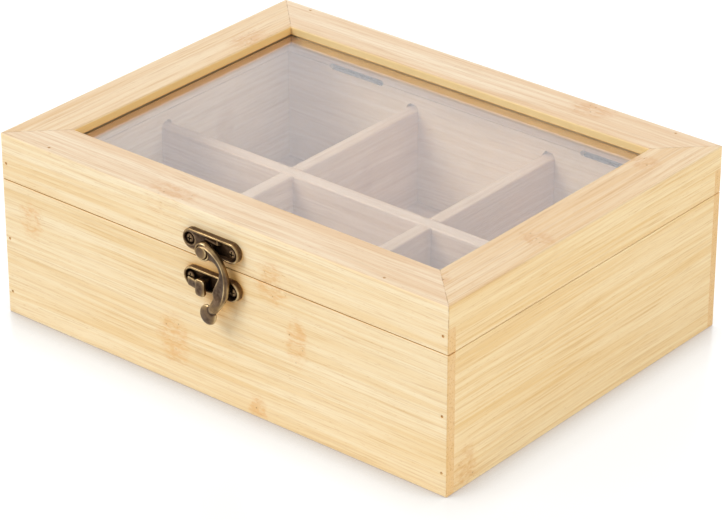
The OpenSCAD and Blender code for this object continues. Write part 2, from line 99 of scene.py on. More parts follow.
def new_material(name):
    """An empty node material, and the function add with its tree filled in."""
    material = bpy.data.materials.new(name)
    material.use_nodes = True
    material.node_tree.nodes.clear()
    return material, partial(add, material.node_tree)


def seen_ray(put):
    """1 for a ray that shows a surface to the eye, and 0 for one that only carries light.

    It is the greatest of Light Path's camera, transmission and glossy rays, as long as there
    has been no soft bounce.
    """
    path = put("LightPath", out=None)
    sharp = put("Math MAXIMUM", path["Is Camera Ray"], path["Is Transmission Ray"])
    sharp = put("Math MAXIMUM", sharp, path["Is Glossy Ray"])
    return put("Math MULTIPLY", sharp, put("Math LESS_THAN", path["Diffuse Depth"], 0.5))


def placed(name, data):
    """A new object in the scene that holds the data, at the origin."""
    made = bpy.data.objects.new(name, data)
    bpy.context.scene.collection.objects.link(made)
    return made


# ---- Bamboo ----

# Where each board lies: its grain axis, the axis across its strips, and the axis of its thickness.
ALONG_X_STANDING = "xzy"
ALONG_Y_STANDING = "yzx"
ALONG_X_FLAT = "xyz"
ALONG_Y_FLAT = "yxz"

STRIP = 21.7          # width of the glued bamboo strips
STRIP_FROM = 10.0     # one glue line between strips lies at this place across the board
GLUE_LINE = 0.22      # width of the dark line on either side of it
TONE_SHIFT = 430.0    # a strip lies along the grain by its random tone times this
SEED_SHIFT = 7.3      # a board's pattern is shifted by its number times this many grains
SEED_STRIPS = 17.0    # and its strips' tones are drawn this many strips further on

# Palettes: pale wood, golden wood, fibre lines, node scars.
FRONT_BAMBOO = ("#F9E7C2", "#F0D39F", "#D6AC6E", "#E3A450")
SIDE_BAMBOO = ("#F5DFB2", "#EAC88C", "#D0A260", "#D39A50")
RAIL_BAMBOO = ("#EFDBBD", "#E3C299", "#CA9D6C", "#CF9350")
LID_BAMBOO = ("#FBEAC7", "#F2D5A1", "#D6AB6F", "#DDA050")
SIDE_RAIL_BAMBOO = ("#EBD3AE", "#E0BB88", "#C69562", "#CF9350")
# The inside's tones are a little darker than the outside's: painted shade for the inside of the box.
WALL_INSIDE_SHADED = ("#F1DBB7", "#E5C797", "#C9A16D", "#D0A05C")
INNER_BAMBOO_SHADED = ("#E9CEAB", "#D8B486", "#BA8A5E", "#C08D58")


def bamboo(name, axes, seed, palette, scars, sawn_ends=False, cut_face=None, other=None,
           painted_shade_near_parts=False, mitred=False):
    """Natural bamboo panel, planed and satin lacquered.

    To the eye: pale yellow strips glued edge to edge, each of its own tone, with fine darker
    fibre lines along the board, soft golden bands, and a rough orange scar where a strip has
    a node of the culm. Sawn ends show orange dots, the cut fibres.
    scars: (along, across, half length, half width) of each node scar.
    sawn_ends: the board's ends show at the left and right side of the box.
    cut_face: (axis, place, colour above the pane, colour below it) of a rail's inner sawn face,
    which is more golden. The colour below the pane is more orange: painted shade for the face under
    the pane.
    other: (axis, place, palette) of the tones nearer to the middle than that place, for the
    faces of a board that are cut from other parts of the culm.
    warm: painted shade. Where ambient occlusion within 12 mm is low, from 10 to 22 mm up, the wood
    is tinted orange, and the gap under a closed lid is painted dull brown shade.
    mitred: a broken brown glue line runs along the mitres.
    """
    material, put = new_material(name)
    mm = put("VectorMath SCALE", {0: put("TexCoord", out="Object"), 3: 1 / MM})
    axis = dict(zip("xyz", put("SeparateXYZ", mm, out=None)))
    off_middle = {letter: put("Math ABSOLUTE", axis[letter]) for letter in "xyz"}
    along, across, depth = (axis[letter] for letter in axes)
    board = put("CombineXYZ", along, across, depth)

    def streaks(place, length, width, detail=1.0, shift=0.0):
        """Noise drawn out along the grain: length and width of its grains in millimetres."""
        scaled = put("VectorMath MULTIPLY_ADD", place, (1 / length, 1 / width, 1 / width),
                     (seed * SEED_SHIFT + shift,) * 3)
        return put("TexNoise", {"Vector": scaled, "Scale": 1.0, "Detail": detail,
                                "Roughness": 0.55})

    # Node scars: soft along the grain, nearly as wide as the strip that has them. Their
    # outlines are ragged by 4.5 mm along the board and 2 mm across it.
    ragged = put("TexNoise", {"Vector": board, "Scale": 0.22, "Detail": 2.0}, out="Color")
    ragged = put("VectorMath MULTIPLY_ADD", ragged, (9.0, 4.0, 0.0), (-4.5, -2.0, 0.0))
    near = put("VectorMath ADD", board, ragged)
    scar = 0.0
    for u, v, half_u, half_v in scars:
        off = put("VectorMath SUBTRACT", near, (u, v, 0.0))
        off = put("VectorMath MULTIPLY", off, (1 / half_u, 1 / half_v, 0.0))
        far = put("VectorMath LENGTH", off, out="Value")
        scar = put("Math MAXIMUM", scar, put("MapRange SMOOTHSTEP", far, 1.25, 0.45))

    # The strip that a point lies in, its own random tone, and the glue line at its edges.
    strip = put("Math DIVIDE", put("Math SUBTRACT", across, STRIP_FROM), STRIP)
    number = put("Math ADD", put("Math FLOOR", strip), seed * SEED_STRIPS)
    tone = put("TexWhiteNoise 1D", {"W": number}, out="Value")
    off_tone = put("Math SUBTRACT", tone, 0.5)
    off_strip = put("Math ABSOLUTE", put("Math SUBTRACT", put("Math FRACT", strip), 0.5))
    strip_line = put("MapRange SMOOTHSTEP", off_strip, 0.5 - GLUE_LINE / STRIP, 0.5)

    # Fibres wander by up to 2 mm, and swerve round the scars.
    wander = put("Math SUBTRACT", streaks(board, 120.0, 18.0), 0.5)
    wander = put("Math MULTIPLY", wander, 4.0)
    swerve = put("Math SUBTRACT", streaks(board, 4.0, 3.0), 0.5)
    swerve = put("Math MULTIPLY", put("Math MULTIPLY", swerve, 2.4), scar)
    wander = put("Math ADD", wander, swerve)
    fibre_place = put("CombineXYZ", put("Math MULTIPLY_ADD", tone, TONE_SHIFT, along),
                      put("Math ADD", across, wander), put("Math ADD", depth, wander))

    bands = streaks(fibre_place, 190.0, 6.5, 2.0)
    lines = streaks(fibre_place, 150.0, 1.9, 1.0, 7.7)
    broad = streaks(fibre_place, 120.0, 26.0, 1.0, 3.1)
    fibres = streaks(fibre_place, 46.0, 0.85, 2.0, 5.7)
    hairs = streaks(fibre_place, 11.0, 0.32, 1.0, 9.2)
    dashes = streaks(fibre_place, 2.6, 0.42, 0.0, 12.4)

    # Each streak adds its share while its noise goes from the first number to the second.
    golden, dark = 0.0, 0.0
    for streak, *span in ((bands, 0.34, 0.68, 0.0, 0.38), (broad, 0.3, 0.7, 0.0, 0.3),
                          (lines, 0.36, 0.64, -0.12, 0.44)):
        golden = put("Math ADD", golden, put("MapRange SMOOTHSTEP", streak, *span))
    golden = put("Math ADD", golden, put("Math MULTIPLY", off_tone, 0.34), use_clamp=True)
    for streak, *span in ((fibres, 0.48, 0.74, 0.0, 0.38), (hairs, 0.5, 0.78, 0.0, 0.3),
                          (dashes, 0.73, 0.82, 0.0, 0.3)):
        dark = put("Math ADD", dark, put("MapRange SMOOTHSTEP", streak, *span))
    dark = put("Math ADD", dark, put("Math MULTIPLY", strip_line, 0.16), use_clamp=True)

    # In a scar the wood is curled, and has pores.
    scar_place = put("VectorMath MULTIPLY", board, (0.16, 0.34, 0.3))
    curls = put("TexNoise", {"Vector": scar_place, "Scale": 1.0, "Detail": 3.0,
                             "Distortion": 1.1})
    curled = put("MapRange SMOOTHSTEP", curls, 0.38, 0.64, 0.16, 0.46)
    pores = put("TexVoronoi", {"Vector": board, "Scale": 0.42}, out=None)
    pore = put("Math MULTIPLY", put("MapRange SMOOTHSTEP", pores["Distance"], 0.22, 0.08),
               put("MapRange SMOOTHSTEP", pores["Color"], 0.58, 0.64))
    pore = put("Math MULTIPLY", pore, put("Math MULTIPLY", scar, 0.6))

    tints = [linear(code) for code in palette]
    if other is not None:
        letter, at, second = other
        turned = put("MapRange SMOOTHSTEP", off_middle[letter], at + 0.15, at - 0.15)
        tints = [put("Mix RGBA", {0: turned, 6: tint, 7: linear(code)}, out=2)
                 for tint, code in zip(tints, second)]
    colour, golden_tint, fibre_tint, scar_tint = tints

    # Layers of colour over the pale wood: how much, the tint, and how it is laid on.
    layers = [(golden, golden_tint, "MIX"), (dark, fibre_tint, "MIX"),
              (put("Math MULTIPLY", scar, curled), scar_tint, "MIX"),
              (pore, linear("#8A5A2A"), "MIX")]
    if sawn_ends:
        # Dots of cut fibres in a darker, orange ground.
        dots = put("TexVoronoi", {"Vector": mm, "Scale": 1.1}, out="Distance", feature="F1")
        end_tint = put("Mix RGBA", {0: put("MapRange SMOOTHSTEP", dots, 0.1, 0.45),
                                    6: linear("#CB9650"), 7: linear("#E3B878")}, out=2)
        at_end = put("MapRange SMOOTHSTEP", off_middle["x"], BOX_W / 2 - 0.55, BOX_W / 2 - 0.3)
        layers.append((put("Math MULTIPLY", at_end, 0.75), end_tint, "MIX"))
    if cut_face is not None:
        letter, at, upper, pane_shade_colour = cut_face
        sawn = put("MapRange SMOOTHSTEP", off_middle[letter], at + 0.75, at + 0.25)
        below = put("MapRange SMOOTHSTEP", axis["z"], TOP_Z - 0.15, TOP_Z - 0.75)
        sawn = put("Math MULTIPLY", put("Math MULTIPLY", sawn, below), 0.85)
        # Painted shade: below the pane the sawn face takes the second, more orange colour.
        pane_shade_mask = put("MapRange SMOOTHSTEP", axis["z"], PANE_Z + 0.8, PANE_Z + 0.2)
        cut_tint = put("Mix RGBA", {0: pane_shade_mask, 6: linear(upper), 7: linear(pane_shade_colour)}, out=2)
        layers.append((sawn, cut_tint, "MIX"))
    if mitred:
        off = put("Math SUBTRACT", off_middle["x"], off_middle["y"])
        off = put("Math ABSOLUTE", put("Math SUBTRACT", off, (BOX_W - BOX_D) / 2))
        broken = put("TexNoise", {"Vector": mm, "Scale": 0.35})
        glue = put("Math MULTIPLY", put("MapRange SMOOTHSTEP", off, 0.34, 0.1),
                   put("MapRange SMOOTHSTEP", broken, 0.38, 0.6, 0.15, 0.75))
        layers.append((glue, linear("#A87842"), "MIX"))
    # Painted shade: an orange tint where ambient occlusion within 12 mm is low, next to the latch
    # and other parts standing on the board, and dull brown in the seam gap while the lid is closed.
    if painted_shade_near_parts:
        open_sky = put("AmbientOcclusion", {"Distance": 12 * MM}, out="AO", samples=8)
        orange_shade_near_parts = put("Math MULTIPLY", put("MapRange SMOOTHSTEP", open_sky, 0.95, 0.5),
                     put("MapRange SMOOTHSTEP", axis["z"], 10.0, 22.0))
        layers.append((orange_shade_near_parts, linear("#FFE3B4"), "MULTIPLY"))
        off_seam = put("Math ABSOLUTE", put("Math SUBTRACT", axis["z"], SEAM_Z))
        seam_shade = put("Math MULTIPLY", put("MapRange SMOOTHSTEP", off_seam, 0.5, 0.2),
                   put("MapRange SMOOTHSTEP", open_sky, 0.6, 0.3, 0.0, 0.5))
        layers.append((seam_shade, linear("#86683A"), "MIX"))
    for amount, tint, way in layers:
        colour = put("Mix RGBA", {0: amount, 6: colour, 7: tint}, out=2, blend_type=way)

    rough = put("MapRange SMOOTHSTEP", fibres, 0.3, 0.75, 0.40, 0.52)
    relief = put("Math ADD", put("Math MULTIPLY", fibres, 0.6), put("Math MULTIPLY", hairs, 0.4))
    bump = put("Bump", {"Height": relief, "Distance": 0.05 * MM, "Strength": 0.35})
    shader = put("BsdfPrincipled", {"Base Color": colour, "Roughness": rough, "IOR": 1.48,
                                    "Normal": bump})
    put("OutputMaterial", shader, out=None)
    return material


# Settings that boards share. A wall's inner half has the inside's darker tones, painted shade for
# the inside of the box, and a rail's top is cut from other parts of the culm than its sides.
FRONT_AND_BACK = dict(sawn_ends=True, other=("y", BOX_D / 2 - WALL + 0.5, WALL_INSIDE_SHADED))
LEFT_AND_RIGHT = dict(other=("x", BOX_W / 2 - WALL + 0.5, WALL_INSIDE_SHADED))
# The second colour of each cut face, below the pane, is painted shade.
LONG_RAIL = dict(mitred=True, other=("z", TOP_Z - 0.25, LID_BAMBOO),
                 cut_face=("y", BOX_D / 2 - RAIL_W, "#FBDC9C", "#FAC678"))
SHORT_RAIL = dict(mitred=True, other=("z", TOP_Z - 0.25, SIDE_BAMBOO),
                  cut_face=("x", BOX_W / 2 - RAIL_W, "#FACB7E", "#FAB767"))

# node: axes, palette, scars (along, across, half length, half width), other settings
BOARDS = {
    "box_front_board": (ALONG_X_STANDING, FRONT_BAMBOO, [
        (-23.5, 20.9, 8.5, 12.5), (43.3, 42.9, 6.0, 12.0), (21.6, 5.0, 5.0, 6.0),
        (30.0, 62.0, 8.5, 7.5), (-104.0, 49.0, 6.0, 9.0)], dict(painted_shade_near_parts=True, **FRONT_AND_BACK)),
    "box_back_board": (ALONG_X_STANDING, FRONT_BAMBOO, [
        (52.0, 20.5, 7.0, 12.0), (-31.0, 42.5, 7.0, 12.0), (88.0, 5.0, 5.0, 6.0)],
        FRONT_AND_BACK),
    "box_left_board": (ALONG_Y_STANDING, SIDE_BAMBOO, [
        (38.0, 42.5, 7.0, 12.0), (-55.0, 20.5, 7.0, 11.0)], LEFT_AND_RIGHT),
    "box_right_board": (ALONG_Y_STANDING, SIDE_BAMBOO, [
        (-80.0, 9.0, 8.0, 11.0)], LEFT_AND_RIGHT),
    "lid_front_board": (ALONG_X_STANDING, LID_BAMBOO, [
        (30.0, 68.5, 7.0, 6.5)], dict(painted_shade_near_parts=True, **FRONT_AND_BACK)),
    "lid_back_board": (ALONG_X_STANDING, FRONT_BAMBOO, [
        (-62.0, 69.5, 7.0, 6.0)], FRONT_AND_BACK),
    "lid_left_board": (ALONG_Y_STANDING, SIDE_BAMBOO, [
        (21.0, 69.0, 6.0, 6.0)], LEFT_AND_RIGHT),
    "lid_right_board": (ALONG_Y_STANDING, SIDE_BAMBOO, [
        (-31.5, 78.5, 4.5, 5.0)], LEFT_AND_RIGHT),
    "front_rail": (ALONG_X_FLAT, RAIL_BAMBOO, [(-27.5, -86.0, 15.0, 5.5)], LONG_RAIL),
    "back_rail": (ALONG_X_FLAT, RAIL_BAMBOO, [(58.0, 84.5, 11.0, 7.0)], LONG_RAIL),
    "left_rail": (ALONG_Y_FLAT, SIDE_RAIL_BAMBOO, [(47.0, -103.5, 11.0, 7.0)], SHORT_RAIL),
    "right_rail": (ALONG_Y_FLAT, SIDE_RAIL_BAMBOO, [
        (57.5, 103.6, 6.0, 7.0), (-24.5, 111.5, 6.0, 8.0), (-76.0, 103.0, 5.0, 5.0)],
        SHORT_RAIL),
    "floor_panel": (ALONG_X_FLAT, INNER_BAMBOO_SHADED, [
        (20.0, 30.0, 8.0, 11.0), (-70.0, -20.0, 8.0, 11.0)], {}),
    "long_divider": (ALONG_X_STANDING, INNER_BAMBOO_SHADED, [(70.0, 30.0, 6.0, 10.0)], {}),
    "left_cross_divider": (ALONG_Y_STANDING, INNER_BAMBOO_SHADED, [(45.0, 35.0, 6.0, 10.0)], {}),
    "right_cross_divider": (ALONG_Y_STANDING, INNER_BAMBOO_SHADED, [(-48.0, 40.0, 6.0, 10.0)], {}),
}


def dress(node, material):
    """Puts a material on a CAD node in place of the one it came with."""
    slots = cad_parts[node].data.materials
    slots.clear()
    slots.append(material)


for seed, (node, (axes, palette, scars, extra)) in enumerate(BOARDS.items(), start=1):
    dress(node, bamboo("bamboo_" + node, axes, seed, palette, scars, **extra))


# ---- Window pane ----

def window_glass():
    """Clear float glass, polished on both faces, with a faint haze of dust.

    To the eye: a low glance shows the white room in it as a milky veil over the inside. The
    haze comes and goes in patches of about 26 mm.
    """
    material, put = new_material("clear_float_glass")
    place = put("TexCoord", out="Object")
    dust = put("TexNoise", {"Vector": place, "Scale": 38.0, "Detail": 3.0})
    glass = put("BsdfGlass", {"Color": linear("#F6F6F8"), "Roughness": 0.0, "IOR": 1.5})
    haze = put("BsdfDiffuse", {"Color": linear("#E6E3E5")})
    hazy = put("MixShader", put("MapRange", dust, 0.3, 0.7, 0.02, 0.045), glass, haze)
    # Light for the inside goes straight through, a little dimmed.
    clear = put("BsdfTransparent", {"Color": linear("#EDEEED")})
    mixed = put("MixShader", put("LightPath", out="Is Shadow Ray"), hazy, clear)
    put("OutputMaterial", mixed, out=None)
    return material


dress("window_pane", window_glass())


# ---- Metals ----

def antique_bronze(name, bare_from=None):
    """Cast zinc alloy with an antique bronze finish, brushed off on the raised parts.

    To the eye: dark brown patina in the hollows and on the sides, and grey gold metal showing on the
    ridges and rims that the brush has reached. The darkening in the hollows is patina and also
    painted shade, and the brightness on the ridges is worn metal and also painted highlight. The
    attribute "proud" tells ridges from hollows; a screw has none, and its metal is bare further than
    bare_from in front of the face, so its cross gets darker with depth, patina and painted shade.
    The patina is cloudy over 1.5 mm, and its grain is 0.3 mm.
    """
    material, put = new_material(name)
    place = put("TexCoord", out="Object")
    grain = put("TexNoise", {"Vector": place, "Scale": 3600.0, "Detail": 2.0})
    if bare_from is None:
        # The brush has left some stretches of the rims dark: patches about 5 mm long.
        patch = put("TexNoise", {"Vector": place, "Scale": 190.0, "Detail": 1.0})
        proud = put("Math MULTIPLY", put("Attribute", out="Fac", attribute_name="proud"),
                    put("MapRange", patch, 0.36, 0.64, 0.35, 1.0))
        cloud = put("TexNoise", {"Vector": place, "Scale": 650.0, "Detail": 3.0})
        rubbed = put("Math MULTIPLY_ADD", cloud, 0.09, proud)
        wear_and_painted_light = put("MapRange SMOOTHSTEP", rubbed, -0.09, 0.27)
    else:
        bare_y = FRONT_Y - bare_from
        wear_and_painted_light = put("MapRange", put("SeparateXYZ", place, out="Y"),
                   bare_y * MM, (bare_y - 0.45) * MM, 0.0, 0.62)
    # The ramp runs from dark patina and painted shade up to bright worn metal and painted highlight.
    colour = put("ValToRGB", wear_and_painted_light, stops=[
        (0.0, "#120A05"), (0.24, "#3C2A1A"), (0.42, "#645140"), (0.62, "#81694A"),
        (0.82, "#A0855C"), (1.0, "#C9B288")])
    rough = put("MapRange", wear_and_painted_light, 0.0, 1.0, 0.52, 0.3)
    bump = put("Bump", {"Height": grain, "Distance": 0.03 * MM, "Strength": 0.4})
    shader = put("BsdfPrincipled", {"Base Color": colour, "Metallic": 1.0, "Roughness": rough,
                                    "Normal": bump})
    put("OutputMaterial", shader, out=None)
    return material


def nickel_plated_steel():
    """Nickel plated steel, stamped and tumbled.

    To the eye: a grey sheen with faint cloudy patches of about 2.4 mm, duller where darker.
    """
    material, put = new_material("nickel_plated_steel")
    place = put("TexCoord", out="Object")
    cloud = put("TexNoise", {"Vector": place, "Scale": 420.0, "Detail": 3.0})
    colour = put("ValToRGB", cloud, stops=[(0.3, "#74726F"), (0.7, "#A3A19D")])
    rough = put("MapRange", cloud, 0.3, 0.7, 0.38, 0.25)
    shader = put("BsdfPrincipled", {"Base Color": colour, "Metallic": 1.0, "Roughness": rough})
    put("OutputMaterial", shader, out=None)
    return material


def filled_brad():
    """Head of a steel brad under a skin of wood filler.

    To the eye: dull brown, a little darker than the wood, mottled over about 1 mm.
    """
    material, put = new_material("steel_brad_under_wood_filler")
    place = put("TexCoord", out="Object")
    cloud = put("TexNoise", {"Vector": place, "Scale": 900.0})
    colour = put("ValToRGB", cloud, stops=[(0.3, "#B98C56"), (0.7, "#D9B27C")])
    shader = put("BsdfPrincipled", {"Base Color": colour, "Roughness": 0.7})
    put("OutputMaterial", shader, out=None)
    return material


BRONZE = antique_bronze("antique_bronze")
SCREW_BRONZE = antique_bronze("antique_bronze_screws", bare_from=2.05)
NICKEL = nickel_plated_steel()
BRAD = filled_brad()

for material, nodes in (
        (BRONZE, ("catch_plate", "latch_plate", "hook_rivet", "latch_hook")),
        (SCREW_BRONZE, ("catch_screws", "latch_screws")),
        (NICKEL, ("left_hinge_box_leaf", "left_hinge_lid_leaf", "left_hinge_pin",
                  "right_hinge_box_leaf", "right_hinge_lid_leaf", "right_hinge_pin",
                  "box_hinge_screws", "lid_hinge_screws")),
        (BRAD, ("box_brads", "lid_brads"))):
    for node in nodes:
        dress(node, material)


# ---- Cast latch: surfaces on the front face, worked out from an outline or a profile ----

LATCH_AT = (0.35, 72.25)      # middle of the latch plate: x and z
CATCH_AT = (0.35, 55.05)      # middle of the catch plate
PIVOT_AT = (-1.75, 70.05)     # axis of the hook
PLATE_L, PLATE_H, PLATE_T = 29.8, 9.0, 2.9    # length, height and thickness of both plates
SHOULDER = 0.55               # radius of a plate's rounded edge
POCKET_REACH = 10.4           # middles of a pocket's round ends, left and right of the plate's
SCREW_AT = 11.3               # the screws lie this far left and right of a plate's middle
WELD = 0.002                  # points that lie nearer than this become one
VOXEL = 0.13                  # fineness of the cast skins


def on_front(at, across, up, out):
    """Points in metres from millimetres on the front: across and up from a middle, and out."""
    return np.stack([at[0] + across, FRONT_Y - out, at[1] + up], axis=-1) * MM


def smooth_step(value, low, high):
    """Goes from 0 to 1 along 3t^2 - 2t^3 while the value goes from low to high."""
    t = np.clip((value - low) / (high - low), 0.0, 1.0)
    return t * t * (3 - 2 * t)


def note_proud(mesh, least, polish, rounds):
    """Keeps, as the attribute "proud", how far each point stands out of a smoothed copy.

    The copy is made by moving every point halfway to the mean of its neighbours, for so many
    rounds; the distance along the normal, in millimetres, is positive on ridges and negative
    in hollows. It is multiplied by polish and kept from falling under least.
    """
    count = len(mesh.vertices)
    place, normal = np.empty(count * 3), np.empty(count * 3)
    mesh.vertices.foreach_get("co", place)
    mesh.vertices.foreach_get("normal", normal)
    ends = np.empty(len(mesh.edges) * 2, int)
    mesh.edges.foreach_get("vertices", ends)
    place, normal = place.reshape(-1, 3) / MM, normal.reshape(-1, 3)
    first, second = ends.reshape(-1, 2).T
    owner, other = np.concatenate([first, second]), np.concatenate([second, first])
    degree = np.bincount(owner, minlength=count)[:, None]
    soft = place.copy()
    for _ in range(rounds):
        total = np.stack([np.bincount(owner, soft[other, i], count) for i in range(3)], axis=-1)
        soft = (soft + total / degree) / 2
    proud = ((place - soft) * normal).sum(axis=1)
    proud = np.maximum(proud * polish, least)
    mesh.attributes.new("proud", "FLOAT", "POINT").data.foreach_set("value", proud)


def shell_object(name, sheets, body, least=-1.0, polish=1.0, rounds=60):
    """One closed cast piece from grids of points.

    Each sheet is an array of rows by columns by three; its last column joins its first, and a
    row whose points coincide is a pole. Neighbouring points make quads and doubles are merged.
    The overlapping shells then become one even skin, relaxed so that inner corners fill as
    they do in a casting.
    """
    points, quads, start = [], [], 0
    for sheet in sheets:
        rows, columns = sheet.shape[:2]
        index = start + np.arange(rows * columns).reshape(rows, columns)
        turned = np.roll(index, -1, axis=1)
        corners = np.stack([index[:-1], turned[:-1], turned[1:], index[1:]], axis=-1)
        quads.append(corners.reshape(-1, 4))
        points.append(sheet.reshape(-1, 3))
        start += rows * columns
    mesh = bpy.data.meshes.new(name)
    mesh.from_pydata(np.concatenate(points).tolist(), [], np.concatenate(quads).tolist())
    work = bmesh.new()
    work.from_mesh(mesh)
    bmesh.ops.remove_doubles(work, verts=work.verts, dist=WELD * MM)
    bmesh.ops.recalc_face_normals(work, faces=work.faces)
    work.to_mesh(mesh)
    work.free()
    made = placed(name, mesh)
    skin = made.modifiers.new("one_skin", "REMESH")
    skin.mode = "VOXEL"
    skin.voxel_size = VOXEL * MM
    skin.use_smooth_shade = True
    soft = made.modifiers.new("cast_corners", "SMOOTH")
    soft.factor = 0.5
    soft.iterations = 3
    graph = bpy.context.evaluated_depsgraph_get()
    made.data = bpy.data.meshes.new_from_object(made.evaluated_get(graph))
    made.data.name = name
    made.modifiers.clear()
    made.data.materials.append(BRONZE)
    note_proud(made.data, least, polish, rounds)
    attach(made, body)
    return made


def stadium_grid(length, height, inset):
    """Points of a stadium's outline moved inwards: rows for each inset, columns round it.

    The outline runs along both straight sides and round both ends; an inset equal to half the
    height puts every point on the middle line.
    """
    reach = (length - height) / 2
    line = np.linspace(-reach, reach, 90, endpoint=False)
    turn = np.linspace(-math.pi / 2, math.pi / 2, 50, endpoint=False)
    middle = np.concatenate([line, np.full(50, reach), -line, np.full(50, -reach)])
    out_x = np.concatenate([0 * line, np.cos(turn), 0 * line, -np.cos(turn)])
    out_y = np.concatenate([0 * line - 1, np.sin(turn), 0 * line + 1, -np.sin(turn)])
    left = (height / 2 - np.asarray(inset))[:, None]
    return middle + out_x * left, out_y * left


def plate_shell(at, ground):
    """A cast plate: flat back, upright side, round shoulder, and a front of the given height.

    ground(x, y) gives the height of the front at places measured from the plate's middle.
    """
    bend = np.linspace(0, math.pi / 2, 7)
    inset = np.concatenate([
        [PLATE_H / 2, 0.0, 0.0], SHOULDER * (1 - np.cos(bend)),
        np.linspace(SHOULDER, PLATE_H / 2, 44)[1:]])
    x, y = stadium_grid(PLATE_L, PLATE_H, inset)
    # Rows: the back's middle line, the back's edge, a place on the side, the shoulder, the front.
    out = np.zeros_like(x)
    out[2] = PLATE_T - SHOULDER - 0.4
    front = 3 + len(bend)
    out[3:front] = (PLATE_T - SHOULDER * (1 - np.sin(bend)))[:, None]
    out[front:] = ground(x[front:], y[front:])
    return on_front(at, x, y, out)


def bar_distance(x, y, x0, x1, radius):
    """Signed distance to a bar with round ends along X from x0 to x1: negative inside."""
    return np.hypot(x - np.clip(x, x0, x1), y) - radius


def line_distance(x, y, start, end, radius):
    """Signed distance to a straight ridge with round ends between two points: negative inside."""
    run = np.subtract(end, start)
    along = np.clip(((x - start[0]) * run[0] + (y - start[1]) * run[1]) / (run @ run), 0, 1)
    return np.hypot(x - start[0] - along * run[0], y - start[1] - along * run[1]) - radius


def latch_ground(x, y):
    """Front of the latch plate: a rim, a shallow field left of a thin wall, and two pockets.

    Each form is a signed distance, negative inside, and the front sinks smoothly across it.
    """
    inside = bar_distance(x, y, -POCKET_REACH, POCKET_REACH, 3.6)
    wall = np.minimum(line_distance(x, y, (-2.0, 2.6), (3.5, 1.75), 0.3),
                      line_distance(x, y, (3.5, 1.75), (3.95, 3.8), 0.3))
    left = np.hypot(x + SCREW_AT, y) - 2.75
    right = np.maximum(inside + 0.1, np.minimum(4.2 - x, np.maximum(y - 1.5, 0.5 - x)))
    deep = np.maximum(np.minimum(left, right), -wall)
    shallow = np.maximum(inside, -wall)
    return (PLATE_T - 0.22 * smooth_step(-shallow, -0.3, 0.5)
            - 1.5 * smooth_step(-deep, -0.2, 0.5))


def catch_ground(x, y):
    """Front of the catch plate: a rim round one long pocket, out of which the post stands."""
    inside = bar_distance(x, y, -POCKET_REACH, POCKET_REACH, 3.5)
    return PLATE_T - 1.7 * smooth_step(-inside, -0.25, 0.55)


def block_shell(at, low, high, rounding, slope=0.0):
    """A block between two corners (across, up, out), its corners drawn as eighths of an ellipsoid.

    A unit sphere's point is scaled by the rounding and moved to the corner that it faces. With
    a slope the front rises by so much for each millimetre to the right.
    """
    polar = np.concatenate([np.linspace(0, 90, 7), np.linspace(90, 180, 7)]) * math.pi / 180
    # The two rings at the equator lean a hair to either side, each towards its own corners.
    polar[6] -= 1e-4
    polar[7] += 1e-4
    around = np.concatenate([np.linspace(q + 0.01, q + 89.99, 7) for q in (0, 90, 180, 270)])
    around = around * math.pi / 180
    ring = np.sin(polar)[:, None]
    ring[[0, -1]] = 0.0
    unit = np.stack([ring * np.cos(around), ring * np.sin(around),
                     np.repeat(np.cos(polar)[:, None], len(around), axis=1)], axis=-1)
    low, high, rounding = map(np.asarray, (low, high, rounding))
    point = (low + high) / 2 + np.sign(unit) * ((high - low) / 2 - rounding) + unit * rounding
    across, up, out = np.moveaxis(point, -1, 0)
    return on_front(at, across, up, out + slope * (across - low[0]) * out / high[2])


def turned_shell(at, profile):
    """A profile of (radius, out) points turned round an axis that stands on the front face."""
    radius, out = np.asarray(profile, float).T[..., None]
    turn = np.linspace(0, 2 * math.pi, 64, endpoint=False)
    return on_front(at, radius * np.cos(turn), radius * np.sin(turn), out + 0 * turn)


def pebble_shell(at, middle, half):
    """A rounded pad: an ellipsoid, cosines and sines of two angles times its half sizes."""
    up_angle = np.linspace(-math.pi / 2, math.pi / 2, 33)[:, None]
    turn = np.linspace(0, 2 * math.pi, 64, endpoint=False)
    across = half[0] * np.cos(up_angle) * np.cos(turn) + middle[0]
    up = half[1] * np.cos(up_angle) * np.sin(turn) + middle[1]
    out = half[2] * np.sin(up_angle) + middle[2] + 0 * turn
    return on_front(at, across, up, out)


def arc(start, end, radius, count):
    """Points on the arc that runs clockwise from start to end with the given radius."""
    start, end = np.asarray(start, float), np.asarray(end, float)
    half = (end - start) / 2
    rise = math.sqrt(max(radius ** 2 - half @ half, 0))
    centre = start + half + rise * np.array([half[1], -half[0]]) / math.hypot(*half)
    first = math.atan2(*(start - centre)[::-1])
    last = math.atan2(*(end - centre)[::-1])
    sweep = last - first - 2 * math.pi * (last > first)
    angle = first + sweep * np.linspace(0, 1, count)
    return centre + radius * np.stack([np.cos(angle), np.sin(angle)], axis=-1)


def evenly(points, count):
    """A polyline with its corners cut twice, resampled at even steps along its length."""
    for _ in range(2):
        inner = np.stack([points[:-1] * 0.75 + points[1:] * 0.25,
                          points[:-1] * 0.25 + points[1:] * 0.75], axis=1).reshape(-1, 2)
        points = np.concatenate([points[:1], inner, points[-1:]])
    step = np.hypot(*np.diff(points, axis=0).T)
    along = np.concatenate([[0], np.cumsum(step)])
    wanted = np.linspace(0, along[-1], count)
    return np.stack([np.interp(wanted, along, points[:, i]) for i in (0, 1)], axis=-1)


KNOB = np.array([3.6, -26.8])     # middle of the thumb pad, from the pivot
HOOK_MID = 4.4                    # middle of the hook's thickness, in front of the face
HOOK_HALF = 1.2                   # half of its thickness


